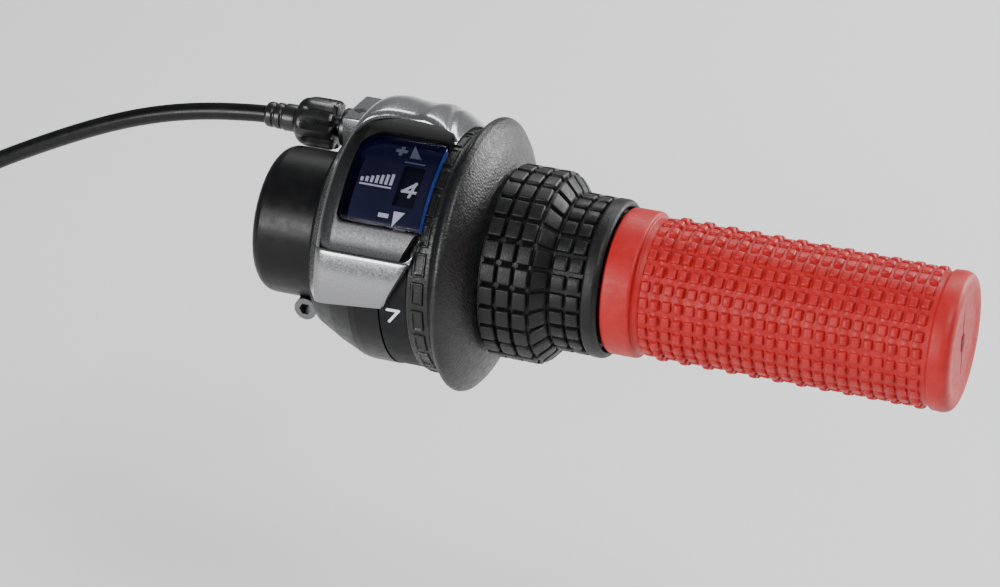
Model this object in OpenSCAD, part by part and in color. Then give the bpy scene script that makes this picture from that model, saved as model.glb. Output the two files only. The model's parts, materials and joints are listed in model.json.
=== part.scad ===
// Right-hand twist shifter for a seven-speed bicycle, with its outer casing and fixed end grip.
// X runs along the handlebar towards its end, Y forward, Z up, in millimetres.
// Stations along the bar are measured from the collar's inboard rim, then shifted so that
// the origin is the middle of the clamp. An angle "phi" turns from straight up towards the rider.

/* [Handlebar] */
// Bore of the clamp and of the fixed inner sleeve, in radius
bar_bore_r = 11.15; // [11.1:0.05:11.2]
// Length of the split clamp collar
clamp_len = 15; // [14:0.5:16]
// Outer radius of the clamp collar
collar_r = 16.4; // [16:0.1:16.5]

/* [Housing] */
// Outer radius of the black drum
drum_r = 26.7; // [26.5:0.1:26.8]
// Inner radius of the drum where the ring gear sits
drum_bore_r = 24.95; // [24.9:0.05:25]
// Outer radius of the silver hump of the cover
hump_r = 31; // [30.5:0.1:31.5]
// Outer radius of the window lens
lens_r = 29.5; // [29.2:0.1:29.8]

/* [Twist grip] */
// Outer radius of the rubber flange
flange_r = 30.3; // [29:0.1:31]
// Outer radius of the wide block rows
wide_block_r = 21.2; // [20.8:0.1:21.6]
// Outer radius of the narrow block rows
narrow_block_r = 17.3; // [17:0.1:17.6]
// Blocks around the grip
block_rows = 26; // [20:1:28]

/* [Gearing] */
// Module of all gear teeth
gear_module = 0.6; // [0.6:0.1:0.6]
// Teeth on the sun gear
sun_teeth = 56; // [56:1:56]
// Teeth on each planet gear
planet_teeth = 10; // [10:1:10]
// Radius at which the shift wire lies on the reel
wire_wrap_r = 19.77; // [19.6:0.01:19.9]

/* [Barrel adjuster] */
// Forward offset of the adjuster axis
adjuster_y = 15; // [14.9:0.05:15.1]
// Height of the adjuster axis
adjuster_z = 16.8; // [16.7:0.05:16.9]
// Largest radius of the fluted knob
knob_r = 5.7; // [5.3:0.1:5.7]

/* [End grip] */
// Radius of the smooth band
band_r = 16; // [15.8:0.1:16.2]
// Radius between the ribs
grip_r = 14.5; // [14.3:0.1:14.7]
// Station of the outer end face
grip_end = 156.2; // [155:0.1:157]

/* [Casing] */
// Diameter of the outer casing
casing_d = 4; // [4:0.1:4]
// Mean radius of the stored coil
coil_r = 23; // [22:0.5:24]

/* [Hidden] */
$fn = 96;
x_shift = -clamp_len / 2;

// Stations of the main shoulders
bulkhead = [17, 19.4];
reel_span = [19.8, 25.8];
gear_span = [26.4, 29.8];
detent_span = [30.6, 33.6];
number_span = [34.9, 41];
sleeve_end = 80.8;
twist_end = 77.2;

// Fixed sleeve, on which the reel and the twist sleeve run
sleeve_r = 12.3;
running_gap = 0.06;
hub_r = 14.2;
drum_wall_r = 24.4;
slot_start = 6.8;
core_r = 17.8;
core_small_r = 14;

// Window, as [station, phi] limits
lens_x = [24.6, 43.4];
lens_phi = [12, 55.5];
bezel_phi = [-2, 69];
cover_phi = [-125, 92];
slot_x = [35.4, 40.2];
slot_phi = [25, 45];

// Gearing
ring_teeth = sun_teeth + 2 * planet_teeth;
sun_pitch_r = gear_module * sun_teeth / 2;
planet_pitch_r = gear_module * planet_teeth / 2;
ring_pitch_r = gear_module * ring_teeth / 2;
carrier_r = sun_pitch_r + planet_pitch_r;
pressure_angle = 25;
backlash = 0.09;
pin_r = 1;
planet_count = 4;

// Shift wire
wire_r = 0.6;
groove_x = 22.5;
bend_r = 5;
axis_r = norm([adjuster_y, adjuster_z]);
axis_phi = atan2(-adjuster_y, adjuster_z);
tangent_phi = axis_phi + acos(wire_wrap_r / axis_r);
tangent_len = sqrt(axis_r * axis_r - wire_wrap_r * wire_wrap_r);
reel_travel = 26.2;
head_phi = 50;

// Detent
gear_step = 20.5;
notch_r = 1.2;
detent_r = 21;

// Casing route, in the origin's own frame: straight out, then a falling curve, then the coil
casing_start = -3;
route = [
    [-14, 16.8],
    [-21, 16.2],
    [-30, 14.9],
    [-39, 12.9],
    [-48, 10.1],
    [-57, 6.5],
    [-66, 2.3],
    [-75, -2.3],
    [-84, -7.2],
    [-93, -12.6],
    [-102, -18.1],
    [-111, -23.6],
    [-119, -28.5]
];
coil_c = [-114, -52.5];
coil_entry = 122;
coil_exit = 900;
coil_turns = (coil_exit - coil_entry) / 360;
coil_pitch = 4.2;
tail_x = coil_c[0] - coil_r;
tail_y = adjuster_y - coil_pitch * coil_turns;
casing_depth = 5.5;
ferrule_z = [coil_c[1] - 22, coil_c[1] - 34];
tongue_end = ferrule_z[1] - 14;
tail_len = 18;
tail_inside = 10;

// ---------- shared shapes ----------

// Moves stations along the bar into the frame of the part
module on_bar() {
    translate([x_shift, 0, 0]) children();
}

// Revolves a [radius, station] outline about the bar, from phi = from through span degrees
module lathe(from = -180, span = 360) {
    rotate([0, 90, 0])
        rotate([0, 0, from + 180])
            rotate_extrude(angle = span) children();
}

// A plain ring about the bar
module ring(r_out, r_in, span) {
    translate([span[0], 0, 0])
        rotate([0, 90, 0])
            difference() {
                cylinder(h = span[1] - span[0], r = r_out);
                translate([0, 0, -1]) cylinder(h = span[1] - span[0] + 2, r = r_in);
            }
}

// A solid rod along X
module rod_x(r, x0, x1) {
    translate([x0, 0, 0]) rotate([0, 90, 0]) cylinder(h = x1 - x0, r = r);
}

// Moves a shape to the adjuster axis
module on_adjuster() {
    translate([0, adjuster_y, adjuster_z]) children();
}

// Turns a shape so that its +Z points outward at phi
module at_phi(phi) {
    rotate([phi, 0, 0]) children();
}

// A block of the annulus between two stations, two radii and two angles
module sector(span, radii, angles) {
    lathe(angles[0], angles[1] - angles[0])
        translate([radii[0], span[0]])
            square([radii[1] - radii[0], span[1] - span[0]]);
}

// Involute flank point, t in degrees of roll
function flank(base_r, t) = [
    base_r * sqrt(1 + pow(t * PI / 180, 2)),
    t - atan(t * PI / 180)
];

// Roll angle at which the flank reaches radius r
function roll(base_r, r) = r <= base_r ? 0 : sqrt(pow(r / base_r, 2) - 1) * 180 / PI;

// Outline of gear teeth, for tooth radii from low to high; "fat" widens each tooth
function teeth(count, low_r, high_r, fat) =
    let (
        pitch_r = gear_module * count / 2,
        base_r = pitch_r * cos(pressure_angle),
        half = 90 / count + fat / (2 * pitch_r) * 180 / PI,
        at_pitch = flank(base_r, roll(base_r, pitch_r))[1],
        rolls = [for (i = [0 : 3]) roll(base_r, max(low_r, base_r)) * (1 - i / 3)
            + roll(base_r, high_r) * i / 3],
        side = concat(
            low_r < base_r ? [[low_r, 0]] : [],
            [for (t = rolls) flank(base_r, t)]
        )
    )
    [
        for (k = [0 : count - 1])
            for (s = [-1, 1])
                for (i = [0 : len(side) - 1])
                    let (
                        p = side[s < 0 ? i : len(side) - 1 - i],
                        a = 360 * k / count + s * (half + at_pitch - p[1])
                    )
                    [p[0] * cos(a), p[0] * sin(a)]
    ];

// Gear profiles stand across X; their first tooth points to phi = 180
module gear_x(span) {
    translate([span[0], 0, 0])
        rotate([0, 90, 0])
            linear_extrude(height = span[1] - span[0]) children();
}

// ---------- housing ----------

// Outside of the black base: collar, neck, cone and drum
module base_outline() {
    edge = 3;
    polygon(concat(
        [[bar_bore_r, 0]],
        [for (a = [0 : 15 : 90]) [collar_r - edge + edge * sin(a), edge - edge * cos(a)]],
        [
            [collar_r, clamp_len - 0.4],
            [15.4, clamp_len],
            [15.4, 16.4],
            [21.4, 16.4],
            [24.4, 22.3],
            [26.5, 27.5],
            [drum_r, 29],
            [drum_r, 34.6],
            [drum_bore_r, 34.6],
            [drum_bore_r, 26.1],
            [23.8, 26.1],
            [21.4, bulkhead[1]],
            [sleeve_r, bulkhead[1]],
            [sleeve_r, sleeve_end],
            [11.6, sleeve_end],
            [11.6, sleeve_end - 3],
            [bar_bore_r, sleeve_end - 3]
        ]
    ));
}

// Boss that carries the adjuster and the cable's bend
module cable_boss() {
    intersection() {
        difference() {
            translate([13.8, 9.2, 9.6]) cube([10.2, 11.6, 11]);
            rod_x(collar_r + 0.3, 0, 16.4);
            rod_x(21, 19.4, 22.9);
            rod_x(23, 22.8, 30);
        }
        rod_x(26.6, 10, 27);
    }
}

bolt_x = 11;
bolt_z = -15.3;
bolt_r = 1.75;
lug_y = 8.2;
screw_at = [[25, -112], [33, -112]];

module base_housing() {
    color("#1b1c1e")
        on_bar()
            difference() {
                union() {
                    lathe() base_outline();
                    cable_boss();
                    difference() {
                        translate([8.4, -lug_y, -17.9]) cube([6.2, 2 * lug_y, 6]);
                        rod_x(13, 0, 20);
                    }
                }
                // split of the clamp
                translate([-1, -0.8, -25]) cube([16, 1.6, 20]);
                // clamp bolt
                translate([bolt_x, 20, bolt_z]) rotate([90, 0, 0]) cylinder(h = 40, r = bolt_r + 0.1);
                // seats of its head and of its nut
                translate([bolt_x, -lug_y, bolt_z]) rotate([90, 0, 0]) cylinder(h = 12, r = 2.9);
                translate([bolt_x, lug_y, bolt_z]) rotate([-90, 0, 0]) cylinder(h = 12, r = 3.7);
                // adjuster thread, then the way of the wire
                on_adjuster() rod_x(2.5, 13, 17.6);
                wire_way(1.3, 0);
                // cover screws
                for (s = screw_at)
                    translate([s[0], 0, 0]) at_phi(s[1]) translate([0, 0, 22]) cylinder(h = 6, r = 0.9);
                // slot for the detent spring's foot
                translate([30.8, -2, -25.6]) cube([2.6, 4, 1.4]);
                // groove for the retaining clip
                ring(sleeve_r + 1, sleeve_r - 0.4, [78.4, 79.4]);
            }
}

// Way of the wire off the reel: straight, then a quarter bend onto the adjuster axis
module wire_way(r, from) {
    at_phi(tangent_phi) {
        if (from == 0)
            translate([groove_x, 0, wire_wrap_r])
                rotate([-90, 0, 0]) cylinder(h = tangent_len - bend_r, r = r, $fn = 24);
        translate([groove_x - bend_r, tangent_len - bend_r, wire_wrap_r])
            rotate([0, 0, from])
                rotate_extrude(angle = 90 - from)
                    translate([bend_r, 0]) circle(r = r, $fn = 24);
    }
}

module clamp_bolt() {
    color("#c9ccd0")
        on_bar()
            translate([bolt_x, -lug_y, bolt_z])
                rotate([90, 0, 0])
                    difference() {
                        union() {
                            cylinder(h = 3.2, r = 2.6);
                            translate([0, 0, -19.4]) cylinder(h = 19.4, r = bolt_r);
                        }
                        translate([0, 0, 1.2]) cylinder(h = 3, r = 1.45, $fn = 6);
                    }
}

module clamp_nut() {
    color("#b9bcc0")
        on_bar()
            translate([bolt_x, lug_y, bolt_z])
                rotate([-90, 0, 0])
                    difference() {
                        cylinder(h = 2.4, r = 3.4, $fn = 6);
                        translate([0, 0, -1]) cylinder(h = 5, r = bolt_r);
                    }
}

// Section of the silver shell over the back of the drum
module hump_outline() {
    polygon([
        [22.5, 17.4],
        [23.2, 17.6],
        [28.2, 20.8],
        [hump_r - 0.8, 22.8],
        [hump_r, 25],
        [hump_r, 36],
        [hump_r - 1.4, 40],
        [27.9, 43.4],
        [27.15, 43.4],
        [27.15, 41.5],
        [28.4, 40],
        [29.4, 36],
        [29.4, 25],
        [28, 24],
        [27, 24],
        [24.75, 22.3],
        [22.5, 17.4]
    ]);
}

// Section of the thinner shell below the window
module apron_outline() {
    polygon([
        [22.5, 17.4],
        [23.2, 17.6],
        [27.7, 20.6],
        [28.3, 23],
        [28.3, 43.4],
        [27.15, 43.4],
        [27.15, 27.5],
        [24.75, 22.3]
    ]);
}

// Silver box over the adjuster's boss
module adjuster_box() {
    difference() {
        intersection() {
            translate([12.4, 8, 7]) cube([12, 14.2, 16]);
            at_phi(-5) translate([0, 0, 7.6]) cube([60, 60, 32], center = true);
        }
        rod_x(collar_r + 0.3, 0, 16.4);
        rod_x(24.7, 16.4, 30);
        translate([11, 9, -2]) cube([14, 12, 22.8]);
    }
    difference() {
        translate([12.4, 8, 7]) cube([1.2, 14.2, 15]);
        rod_x(collar_r + 0.3, 0, 16.4);
        on_adjuster() rod_x(3, 10, 15);
    }
}

module top_cover() {
    color("#c4c7cb")
        on_bar()
            difference() {
                union() {
                    lathe(cover_phi[0], bezel_phi[0] - cover_phi[0]) hump_outline();
                    difference() {
                        lathe(bezel_phi[0], cover_phi[1] - bezel_phi[0]) apron_outline();
                        sector([20.8, 44], [20, 40], [bezel_phi[0], bezel_phi[1]]);
                        // slanting outer edge of the apron
                        at_phi(80) translate([42.3, 0, 28]) rotate([0, 0, 28]) cube([10, 40, 10], center = true);
                    }
                    adjuster_box();
                }
                // room for the cable's boss
                translate([13.6, 9, 9.4]) cube([10.6, 12, 11.4]);
                for (s = screw_at)
                    translate([s[0], 0, 0]) at_phi(s[1]) screw_space();
            }
}

module screw_space() {
    translate([0, 0, 20]) cylinder(h = 12, r = 1.3);
    translate([0, 0, 29.6]) cylinder(h = 3, r = 2.2);
}

module cover_screws() {
    color("#3a3b3d")
        on_bar()
            for (s = screw_at)
                translate([s[0], 0, 0])
                    at_phi(s[1])
                        difference() {
                            union() {
                                translate([0, 0, 29.6]) cylinder(h = 1.1, r = 2.1);
                                translate([0, 0, 25.2]) cylinder(h = 4.4, r = 0.9);
                            }
                            translate([-1.2, -0.25, 30.2]) cube([2.4, 0.5, 1]);
                            translate([-0.25, -1.2, 30.2]) cube([0.5, 2.4, 1]);
                        }
}

module window_bezel() {
    color("#63666b")
        on_bar()
            difference() {
                lathe(bezel_phi[0] + 0.3, bezel_phi[1] - bezel_phi[0] - 0.6)
                    polygon([
                        [27.2, 21],
                        [28, 21],
                        [29.6, 24.4],
                        [29.6, 43.2],
                        [27.2, 43.2]
                    ]);
                sector([lens_x[0] - 0.1, 44], [20, 32], [lens_phi[0] - 0.3, lens_phi[1] + 0.3]);
                sector([22, 44], [20, 27.75], [7, 62]);
            }
}

module window_lens() {
    color("#3f4f8c", 0.45)
        on_bar() sector(lens_x, [lens_r - 1.6, lens_r], lens_phi);
}

module display_panel() {
    color("#2e3140")
        on_bar()
            difference() {
                sector([22.2, 43.2], [27.2, 27.7], [8, 61]);
                sector(slot_x, [26, 29], slot_phi);
            }
}

module ring_gear() {
    color("#d8d4c8")
        on_bar()
            gear_x([26.1, 30.1])
                difference() {
                    circle(r = drum_bore_r);
                    rotate(180 / ring_teeth)
                        polygon(teeth(
                            ring_teeth,
                            ring_pitch_r - 0.8 * gear_module,
                            ring_pitch_r + gear_module,
                            backlash
                        ));
                }
}

module cable_guide() {
    color("#e8e6df")
        on_bar()
            difference() {
                wire_way(1.25, 45);
                wire_way(0.8, 30);
            }
}

// Leaf spring whose nose rests in the detent's middle notch
module detent_spring() {
    color("#9da1a6")
        on_bar()
            translate([31, 0, 0])
                rotate([90, 0, 90])
                    linear_extrude(height = 2.2)
                        union() {
                            translate([-1.8, -25.5]) square([3.6, 0.6]);
                            polygon([
                                [-1.8, -25.2],
                                [-1.2, -25.2],
                                [0.5, -21.2],
                                [0, -20.6],
                                [-0.5, -21.2]
                            ]);
                            polygon([
                                [1.8, -25.2],
                                [1.2, -25.2],
                                [-0.5, -21.2],
                                [0, -20.6],
                                [0.5, -21.2]
                            ]);
                        }
}

module retaining_washer() {
    color("#d9dadc") on_bar() ring(15.5, sleeve_r + running_gap, [77.4, 78.2]);
}

module retaining_clip() {
    color("#8d9196")
        on_bar()
            difference() {
                ring(14.4, sleeve_r - 0.35, [78.5, 79.3]);
                translate([78, -2, 10]) cube([2, 4, 6]);
            }
}

// ---------- end grip ----------

rib_pitch = 2.6;
rib_count = 24;

module end_grip() {
    color("#d8342f")
        on_bar()
            lathe()
                polygon(concat(
                    [
                        [11.6, sleeve_end],
                        [band_r - 0.5, sleeve_end],
                        [band_r, sleeve_end + 0.5],
                        [band_r, 87.9],
                        [grip_r, 88.9]
                    ],
                    [
                        for (i = [0 : rib_count - 1])
                            for (p = [[0, 0.2], [0.9, 0.4], [0.9, 1.8], [0, 2]])
                                [grip_r + p[0], 88.9 + i * rib_pitch + p[1]]
                    ],
                    [
                        [grip_r, 151.6],
                        [15, 152],
                        [15, 153.6],
                        [14.4, 154.8],
                        [13, 155.7],
                        [11, grip_end],
                        [0, grip_end],
                        [0, 153],
                        [11.1, 153],
                        [11.1, 83],
                        [11.6, 83]
                    ]
                ));
}

// ---------- twist grip ----------

module twist_sleeve() {
    color("#26272a")
        on_bar()
            lathe()
                polygon([
                    [sleeve_r + running_gap, 26.2],
                    [hub_r, 26.2],
                    [hub_r, 34.3],
                    [drum_wall_r, 34.9],
                    [drum_wall_r, 46.4],
                    [22.9, 46.4],
                    [22.9, 37],
                    [hub_r, 37],
                    [hub_r, 46.4],
                    [core_r, 46.4],
                    [core_r, 66],
                    [core_small_r, 69.6],
                    [core_small_r, twist_end],
                    [sleeve_r + running_gap, twist_end]
                ]);
}

module sun_gear() {
    color("#d8d4c8")
        on_bar()
            gear_x(gear_span)
                difference() {
                    polygon(teeth(
                        sun_teeth,
                        sun_pitch_r - gear_module,
                        sun_pitch_r + 0.8 * gear_module,
                        -backlash
                    ));
                    circle(r = hub_r);
                }
}

module detent_ring() {
    color("#8f9398")
        on_bar()
            difference() {
                ring(detent_r, hub_r, detent_span);
                for (i = [-3 : 3])
                    at_phi(180 + gear_step * i)
                        translate([0, 0, detent_r]) rod_x(notch_r, detent_span[0] - 1, detent_span[1] + 1);
            }
}

module number_ring() {
    color("#202124") on_bar() ring(drum_r - 0.2, drum_wall_r, number_span);
}

module grip_rubber() {
    color("#2b2b2c")
        on_bar()
            difference() {
                lathe()
                    polygon([
                        [drum_wall_r, 41.1],
                        [26.6, 41.1],
                        [26.8, 41.4],
                        [26.8, 46],
                        [27.6, 46.6],
                        [29.6, 47.6],
                        [flange_r, 48.6],
                        [flange_r - 0.3, 49.8],
                        [28.4, 51],
                        [24, 53.2],
                        [20, 54.4],
                        [19.9, 55.2],
                        [wide_block_r, 55.2],
                        [wide_block_r, 66],
                        [narrow_block_r, 69.8],
                        [narrow_block_r, 76.4],
                        [16.4, 76.6],
                        [17.4, 77.2],
                        [17.4, 79.6],
                        [16.6, 80.3],
                        [15.8, 80.3],
                        [15.8, twist_end],
                        [core_small_r, twist_end],
                        [core_small_r, 69.6],
                        [core_r, 66],
                        [core_r, 46.4],
                        [drum_wall_r, 46.4]
                    ]);
                for (s = [58.7, 62.4])
                    ring(wide_block_r + 1, wide_block_r - 1.3, [s, s + 0.6]);
                ring(narrow_block_r + 1, narrow_block_r - 1.1, [73, 73.6]);
                for (i = [0 : block_rows - 1])
                    at_phi(slot_start + 360 * i / block_rows)
                        translate([54.8, -0.35, wide_block_r - 1.1]) cube([11.6, 0.7, 4]);
                for (i = [0 : block_rows - 1])
                    at_phi(slot_start + 360 * i / block_rows)
                        translate([69.4, -0.3, narrow_block_r - 0.8]) cube([7.05, 0.6, 4]);
            }
}

// ---------- reel and planets ----------

module cable_reel() {
    color("#dcdad2")
        on_bar()
            difference() {
                lathe()
                    polygon([
                        [sleeve_r + running_gap, reel_span[0]],
                        [20.3, reel_span[0]],
                        [20.3, 21.5],
                        [wire_wrap_r - wire_r, groove_x - wire_r - 0.05],
                        [wire_wrap_r - wire_r, groove_x + wire_r + 0.05],
                        [20.4, 23.6],
                        [21.3, 23.6],
                        [21.3, reel_span[1]],
                        [sleeve_r + running_gap, reel_span[1]]
                    ]);
                for (k = [0 : planet_count - 1])
                    at_phi(90 * k) translate([0, 0, carrier_r]) rod_x(pin_r, 24, 30);
                head_space(2);
            }
}

// Round pocket, across the groove's tangent, for the wire's head
module head_space(r) {
    translate([groove_x, 0, 0])
        at_phi(head_phi)
            translate([0, 1.8, wire_wrap_r - 0.5])
                rotate([90, 0, 0]) cylinder(h = 3.6, r = r);
}

module planet_pins() {
    color("#a9adb2")
        on_bar()
            for (k = [0 : planet_count - 1])
                at_phi(90 * k) translate([0, 0, carrier_r]) rod_x(pin_r, 24, 30.1);
}

// Planet k, turned half a tooth so that it meshes at rest
module planet_gear(k) {
    color("#e6e2d6")
        on_bar()
            at_phi(90 * k)
                translate([0, 0, carrier_r])
                    gear_x([26.5, 29.7])
                        difference() {
                            rotate(180 / planet_teeth)
                                polygon(teeth(
                                    planet_teeth,
                                    planet_pitch_r - gear_module,
                                    planet_pitch_r + 0.8 * gear_module,
                                    -backlash
                                ));
                            circle(r = pin_r + 0.05, $fn = 32);
                        }
}

module planet_gear_1() {
    planet_gear(0);
}

module planet_gear_2() {
    planet_gear(1);
}

module planet_gear_3() {
    planet_gear(2);
}

module planet_gear_4() {
    planet_gear(3);
}

// Wire that stays on the reel over the whole travel
module reel_wire() {
    from = tangent_phi + reel_travel + 0.5;
    color("#b4b8bd")
        on_bar()
            difference() {
                lathe(from, head_phi - from)
                    translate([wire_wrap_r, groove_x]) circle(r = wire_r, $fn = 24);
                head_space(1.9);
            }
}

module wire_head() {
    color("#b4b8bd") on_bar() head_space(1.9);
}

// Wire from the reel's tangent, round the bend and along the adjuster
module inner_wire() {
    color("#b4b8bd")
        on_bar() {
            wire_way(wire_r, 0);
            on_adjuster() rod_x(wire_r, -1, groove_x - bend_r);
        }
}

// ---------- barrel adjuster and casing ----------

flutes = 8;

module adjuster_knob() {
    color("#242527")
        on_adjuster()
            on_bar()
                difference() {
                    rotate([0, 90, 0])
                        rotate_extrude()
                            polygon([
                                [2.66, -0.6],
                                [4, -0.6],
                                [4.9, 0],
                                [knob_r, 1.6],
                                [knob_r, 8],
                                [5.2, 8.8],
                                [2.45, 8.8],
                                [2.45, 5],
                                [2.66, 5]
                            ]);
                    for (i = [0 : flutes - 1])
                        rotate([360 * i / flutes, 0, 0])
                            translate([0, 0, knob_r + 0.9]) rod_x(1.7, 1.4, 10);
                }
}

module adjuster_stem() {
    color("#c8cbce")
        on_adjuster()
            on_bar()
                rotate([0, 90, 0])
                    rotate_extrude()
                        polygon(concat(
                            [[0.9, 5], [2.45, 5], [2.45, 9.4]],
                            [
                                for (i = [0 : 7])
                                    for (p = [[2.15, 0], [2.45, 0.4]])
                                        [p[0], 9.6 + 0.8 * i + p[1]]
                            ],
                            [[2.1, 16.1], [0.9, 16.1]]
                        ));
}

module casing_ferrule() {
    color("#202123")
        on_adjuster()
            on_bar()
                rotate([0, 90, 0])
                    rotate_extrude()
                        polygon([
                            [2.02, -8.4],
                            [2.6, -8.4],
                            [2.9, -7.8],
                            [2.9, -6.6],
                            [2.7, -6.4],
                            [2.7, -6],
                            [3, -5.8],
                            [3, -4.6],
                            [2.8, -4.4],
                            [2.8, -4],
                            [3.1, -3.8],
                            [3.1, -1],
                            [2.6, -0.9],
                            [2.6, 4.6],
                            [0.9, 4.6],
                            [0.9, casing_start],
                            [2.02, casing_start]
                        ]);
}

// Smooth route points between the listed ones, by a Catmull-Rom curve
function spline(p, i, t) =
    let (
        n = len(p) - 1,
        a = p[max(i - 1, 0)],
        b = p[i],
        c = p[i + 1],
        d = p[min(i + 2, n)]
    )
    0.5 * (2 * b + (c - a) * t + (2 * a - 5 * b + 4 * c - d) * t * t
        + (3 * b - a - 3 * c + d) * t * t * t);

function coil_point(angle) = [
    coil_c[0] + coil_r * cos(angle),
    adjuster_y - coil_pitch * (angle - coil_entry) / 360,
    coil_c[1] + coil_r * sin(angle)
];

lead_points = concat(
    [[x_shift + casing_start, adjuster_y, adjuster_z]],
    [for (p = route) [p[0], adjuster_y, p[1]]],
    [coil_point(coil_entry)]
);
lead = concat(
    [for (i = [0 : len(lead_points) - 2]) for (t = [0, 0.5]) spline(lead_points, i, t)],
    [lead_points[len(lead_points) - 1]]
);

function unit(v) = v / norm(v);

// Tube through points, closed at both ends; every point lies in a plane of nearly constant Y
module tube(points, r, sides) {
    n = len(points);
    rings = [
        for (i = [0 : n - 1])
            let (
                t = unit(points[min(i + 1, n - 1)] - points[max(i - 1, 0)]),
                u = unit(cross(t, [0, 1, 0])),
                v = cross(t, u)
            )
            [
                for (k = [0 : sides - 1])
                    points[i] + r * (cos(360 * k / sides) * u + sin(360 * k / sides) * v)
            ]
    ];
    polyhedron(
        points = [for (r_i = rings) each r_i],
        faces = concat(
            [[for (k = [0 : sides - 1]) k]],
            [
                for (i = [0 : n - 2])
                    for (k = [0 : sides - 1])
                        let (
                            a = i * sides + k,
                            b = i * sides + (k + 1) % sides
                        )
                        each [[a, a + sides, b + sides], [a, b + sides, b]]
            ],
            [[for (k = [sides - 1 : -1 : 0]) (n - 1) * sides + k]]
        )
    );
}

module outer_casing() {
    color("#151516") tube(lead, casing_d / 2, 10);
}

// Closed solid of the coil's outer shape
module casing_coil() {
    color("#151516")
        translate([coil_c[0], adjuster_y + casing_d / 2, coil_c[1]])
            rotate([90, 0, 0])
                rotate_extrude()
                    translate([coil_r - casing_d / 2, 0])
                        square([casing_d, coil_pitch * coil_turns + casing_d]);
}

module casing_tail() {
    color("#151516")
        translate([tail_x, tail_y, ferrule_z[0] - casing_depth])
            cylinder(h = coil_c[1] - ferrule_z[0] + casing_depth, r = casing_d / 2);
}

module coil_tie() {
    color("#2a2a2c")
        translate([coil_c[0], (adjuster_y + tail_y) / 2, coil_c[1]])
            rotate([0, -60, 0])
                translate([coil_r, 0, 0])
                    difference() {
                        cube([6.4, 17.8, 3], center = true);
                        cube([casing_d, 13.4, 4], center = true);
                    }
}

module end_ferrule() {
    color("#c9ccd0")
        translate([tail_x, tail_y, 0])
            rotate_extrude()
                polygon([
                    [2.02, ferrule_z[0]],
                    [2.5, ferrule_z[0]],
                    [2.5, ferrule_z[1] + 0.6],
                    [2.1, ferrule_z[1]],
                    [1.15, ferrule_z[1]],
                    [1.15, tongue_end],
                    [0.8, tongue_end],
                    [0.8, ferrule_z[0] - casing_depth],
                    [2.02, ferrule_z[0] - casing_depth]
                ]);
}

module wire_tail() {
    color("#b4b8bd")
        translate([tail_x, tail_y, tongue_end - tail_len])
            cylinder(h = tail_len + tail_inside, r = wire_r, $fn = 24);
}

module wire_end_cap() {
    color("#c9ccd0")
        translate([tail_x, tail_y, tongue_end - tail_len - 8])
            difference() {
                union() {
                    translate([0, 0, 0.9]) cylinder(h = 11.1, r = 0.9, $fn = 32);
                    translate([0, 0, 0.9]) sphere(r = 0.9, $fn = 32);
                }
                translate([0, 0, 8]) cylinder(h = 5, r = wire_r, $fn = 24);
            }
}

base_housing();
clamp_bolt();
clamp_nut();
top_cover();
window_bezel();
window_lens();
display_panel();
cover_screws();
ring_gear();
cable_guide();
detent_spring();
retaining_washer();
retaining_clip();
end_grip();
inner_wire();
twist_sleeve();
sun_gear();
detent_ring();
number_ring();
grip_rubber();
cable_reel();
planet_pins();
reel_wire();
wire_head();
planet_gear_1();
planet_gear_2();
planet_gear_3();
planet_gear_4();
adjuster_knob();
adjuster_stem();
casing_ferrule();
outer_casing();
casing_coil();
casing_tail();
coil_tie();
end_ferrule();
wire_tail();
wire_end_cap();
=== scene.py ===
"""Looks of the right-hand twist shifter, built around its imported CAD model.

Lengths are written in millimetres in the frame of the part and scaled to metres when a mesh is
made. A station is the distance along the bar from the collar's inboard rim. An angle phi turns
about the bar from straight up towards the rider, in degrees.
"""

import json
import math

import bmesh
import bpy
import numpy as np
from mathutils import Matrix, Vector


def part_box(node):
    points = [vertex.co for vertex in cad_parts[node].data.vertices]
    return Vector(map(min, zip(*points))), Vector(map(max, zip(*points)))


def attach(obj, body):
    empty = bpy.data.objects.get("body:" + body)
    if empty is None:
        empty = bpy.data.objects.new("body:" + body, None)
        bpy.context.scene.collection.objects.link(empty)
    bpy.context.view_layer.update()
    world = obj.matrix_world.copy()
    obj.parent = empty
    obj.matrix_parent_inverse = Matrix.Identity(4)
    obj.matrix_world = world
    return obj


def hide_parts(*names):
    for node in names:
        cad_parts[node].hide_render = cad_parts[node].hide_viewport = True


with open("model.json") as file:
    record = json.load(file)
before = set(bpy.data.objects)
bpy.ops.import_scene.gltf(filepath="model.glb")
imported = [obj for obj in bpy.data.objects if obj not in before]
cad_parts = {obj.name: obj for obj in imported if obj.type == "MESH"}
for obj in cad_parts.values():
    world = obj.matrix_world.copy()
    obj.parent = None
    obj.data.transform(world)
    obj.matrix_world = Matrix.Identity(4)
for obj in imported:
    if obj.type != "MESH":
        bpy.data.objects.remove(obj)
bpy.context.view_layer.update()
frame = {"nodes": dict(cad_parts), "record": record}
scene = bpy.context.scene

MM = 0.001
CLAMP_LEN = 15.0
SHIFT = -CLAMP_LEN / 2

# Barrel adjuster and casing, in the frame of the part
ADJUSTER_Y = 15.0
ADJUSTER_Z = 16.8
CASING_D = 4.0

# Housing and window: the cover runs from its hidden back edge to the crease under the window
LENS_R = 29.5
LENS_X = (24.6, 43.4)
LENS_PHI = (12.0, 55.5)
COVER_START = -125.0
CREASE_PHI = 69.0
COVER_FOOT = 17.4
THINNEST = 0.1

# Display behind the window, and the numerals that turn under its slot
DISPLAY_R = 27.66
NUMBER_R = 26.5
NUMBER_STATION = 37.9
WINDOW_PHI = 35.5
GEAR_STEP = 20.5
GEARS = 7

# Twist grip
BLOCK_ROWS = 26
ROW_PITCH = 360 / BLOCK_ROWS
SLOT_PHASE = 6.8
BLOCK_GAP = 0.42
SLEEVE_START = 55.0

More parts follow.
